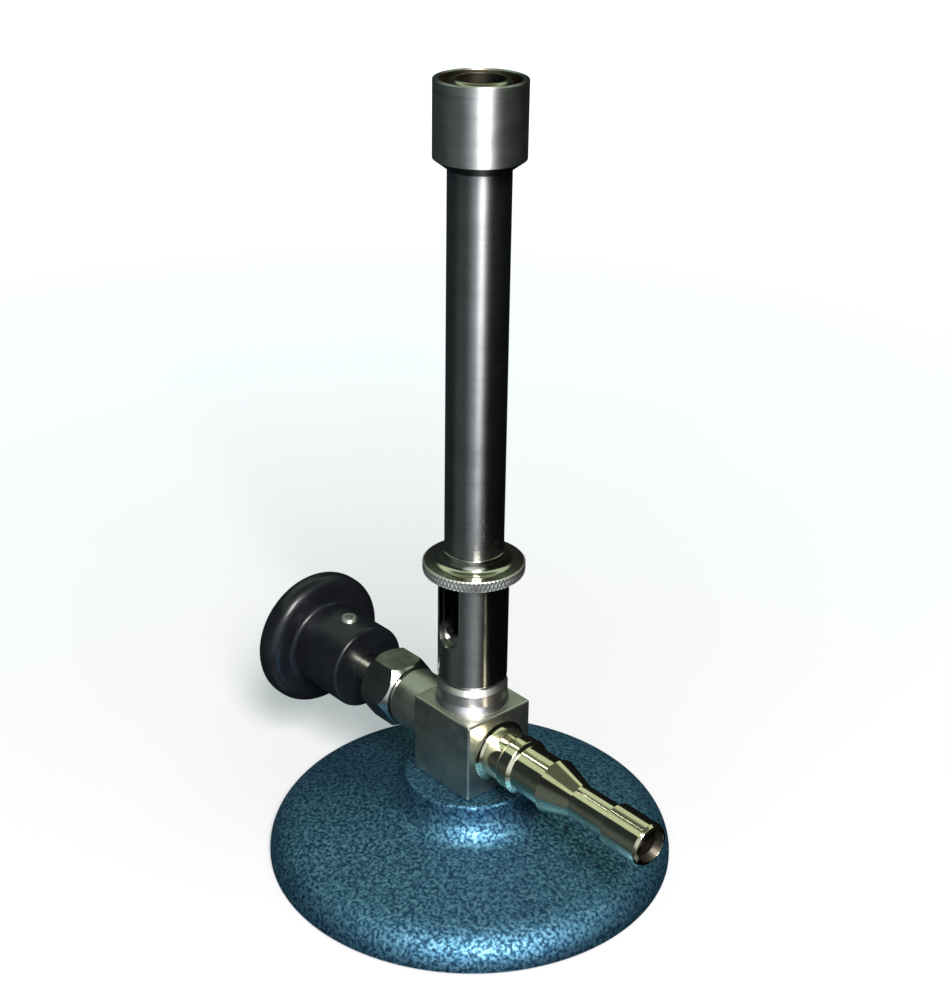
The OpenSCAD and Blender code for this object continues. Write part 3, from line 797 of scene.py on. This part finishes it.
# small parts that keep their CAD shape and get a finish
for name, material in {
    "base_washer": zinc, "base_spring_washer": spring_steel, "jet_gasket": fibre, "gas_jet": brass_up,
    "sleeve_spring_ring": bronze, "gland_packing": graphite, "gland_washer": brass, "knob_bush": brass,
}.items():
    data = NODES[name].data
    data.materials.clear()
    data.materials.append(material)


# ---------------------------------------------------------------- stage, light and camera
def floor():
    """A pale table that glows: painted light, brighter away from the burner, where the key light falls off,
    and dimmer near it, a painted shade round the burner.
    """
    p = Paint("floor", Roughness=0.9)
    p.bsdf.inputs["Specular IOR Level"].default_value = 0.0
    p.bsdf.inputs["Base Color"].default_value = (0.54, 0.49, 0.50, 1)
    # painted light: the table glows a cool white, which also tints its shade blue
    p.bsdf.inputs["Emission Color"].default_value = (0.82, 0.95, 1.0, 1)
    reach = p.node("ShaderNodeVectorMath", {0: p.coords}, operation="LENGTH").outputs["Value"]
    # painted shade: the glow is weakest at the burner and rises outwards to full strength 0.65 m away
    p.link(p.span(reach, 0.05, 0.65, 0.35, 1.05), "Emission Strength")
    bm = bmesh.new()
    bmesh.ops.create_grid(bm, x_segments=8, y_segments=8, size=3.0)
    obj = thing("studio_floor", bm)
    obj.data.materials.append(p.mat)
    obj.visible_glossy = False


# the camera's direction from the burner, in degrees from +X; lights are placed from it
VIEW_AZ = -42.2


def panel(name, turn, lift, distance, width, height, power, colour, aim=(0, 0, 0.07)):
    """A soft box: turn is to the right of the camera, lift above the floor, in degrees."""
    a, e = math.radians(VIEW_AZ + turn), math.radians(lift)
    away = Vector((math.cos(a) * math.cos(e), math.sin(a) * math.cos(e), math.sin(e)))
    spotted = Vector(aim) + distance * away
    data = bpy.data.lights.new(name, "AREA")
    data.shape = "RECTANGLE"
    data.size, data.size_y = width, height
    data.energy = power
    data.color = colour
    obj = bpy.data.objects.new(name, data)
    facing = (spotted - Vector(aim)).to_track_quat("Z", "Y").to_matrix().to_4x4()
    obj.matrix_world = Matrix.Translation(spotted) @ facing
    bpy.context.scene.collection.objects.link(obj)
    return obj


def world():
    w = bpy.data.worlds.new("studio")
    bpy.context.scene.world = w
    w.use_nodes = True
    nt = w.node_tree
    back = nt.nodes["Background"]
    coords = nt.nodes.new("ShaderNodeTexCoord").outputs["Generated"]

    def glow(turn, lift, start, end, colour):
        """A soft patch, its middle turn degrees right of the camera and lift above the floor."""
        a, e = math.radians(VIEW_AZ + turn), math.radians(lift)
        dot = nt.nodes.new("ShaderNodeVectorMath")
        dot.operation = "DOT_PRODUCT"
        nt.links.new(coords, dot.inputs[0])
        dot.inputs[1].default_value = (math.cos(a) * math.cos(e), math.sin(a) * math.cos(e), math.sin(e))
        span = nt.nodes.new("ShaderNodeMapRange")
        span.interpolation_type = "SMOOTHSTEP"
        span.inputs["From Min"].default_value = start
        span.inputs["From Max"].default_value = end
        nt.links.new(dot.outputs["Value"], span.inputs["Value"])
        tint = nt.nodes.new("ShaderNodeVectorMath")
        tint.operation = "SCALE"
        tint.inputs[0].default_value = colour
        nt.links.new(span.outputs["Result"], tint.inputs["Scale"])
        return tint.outputs[0]

    # a bright ceiling, dimmer in its middle
    ceiling = glow(-175, 82, 0.65, 0.69, (0.66, 0.80, 0.59))
    ceiling_middle = glow(-175, 82, 0.845, 0.895, (-0.55, -0.67, -0.49))
    # soft light from the left and the front, and what the pale table gives back from below
    left_fill = glow(-55, -12, 0.78, 0.985, (0.09, 0.11, 0.105))
    front = glow(0, 15, 0.72, 0.98, (0.86, 0.96, 1.04))
    table_near = glow(-3, -30, 0.85, 1.0, (0.06, 0.066, 0.070))
    table_below = glow(0, -55, 0.88, 0.985, (0.35, 0.40, 0.44))
    # the dim room
    room_left = glow(-100, -15, -0.2, 1.0, (0.022, 0.030, 0.034))
    room_above = glow(0, 90, -1.0, 0.4, (0.010, 0.011, 0.012))

    total = None
    for patch in (ceiling, ceiling_middle, left_fill, front, table_near, table_below, room_left, room_above):
        if total is None:
            total = patch
            continue
        add = nt.nodes.new("ShaderNodeVectorMath")
        nt.links.new(total, add.inputs[0])
        nt.links.new(patch, add.inputs[1])
        total = add.outputs[0]
    nt.links.new(total, back.inputs["Color"])


floor()
world()
panel("key", turn=12, lift=43, distance=0.75, width=0.22, height=0.36, power=9, colour=(1.0, 0.98, 0.97))

LENS = 62.35
CAMERA_AT = (0.2113, -0.1916, 0.2137)
CAMERA_LOOK = (-0.6670, 0.6057, -0.4340)
CAMERA_ROLL = 0.0152
cam_data = bpy.data.cameras.new("camera")
cam_data.lens = LENS
cam_data.sensor_width = 36
cam_data.clip_start = 0.01
camera = bpy.data.objects.new("camera", cam_data)
bpy.context.scene.collection.objects.link(camera)
forward = Vector(CAMERA_LOOK).normalized()
right = forward.cross(Vector((0, 0, 1))).normalized()
up = right.cross(forward)
x_axis = right * math.cos(CAMERA_ROLL) + up * math.sin(CAMERA_ROLL)
y_axis = up * math.cos(CAMERA_ROLL) - right * math.sin(CAMERA_ROLL)
facing = Matrix((x_axis, y_axis, -forward)).transposed().to_4x4()
camera.matrix_world = Matrix.Translation(CAMERA_AT) @ facing
bpy.context.scene.camera = camera
bpy.context.scene.view_settings.view_transform = "Standard"

bpy.context.view_layer.update()
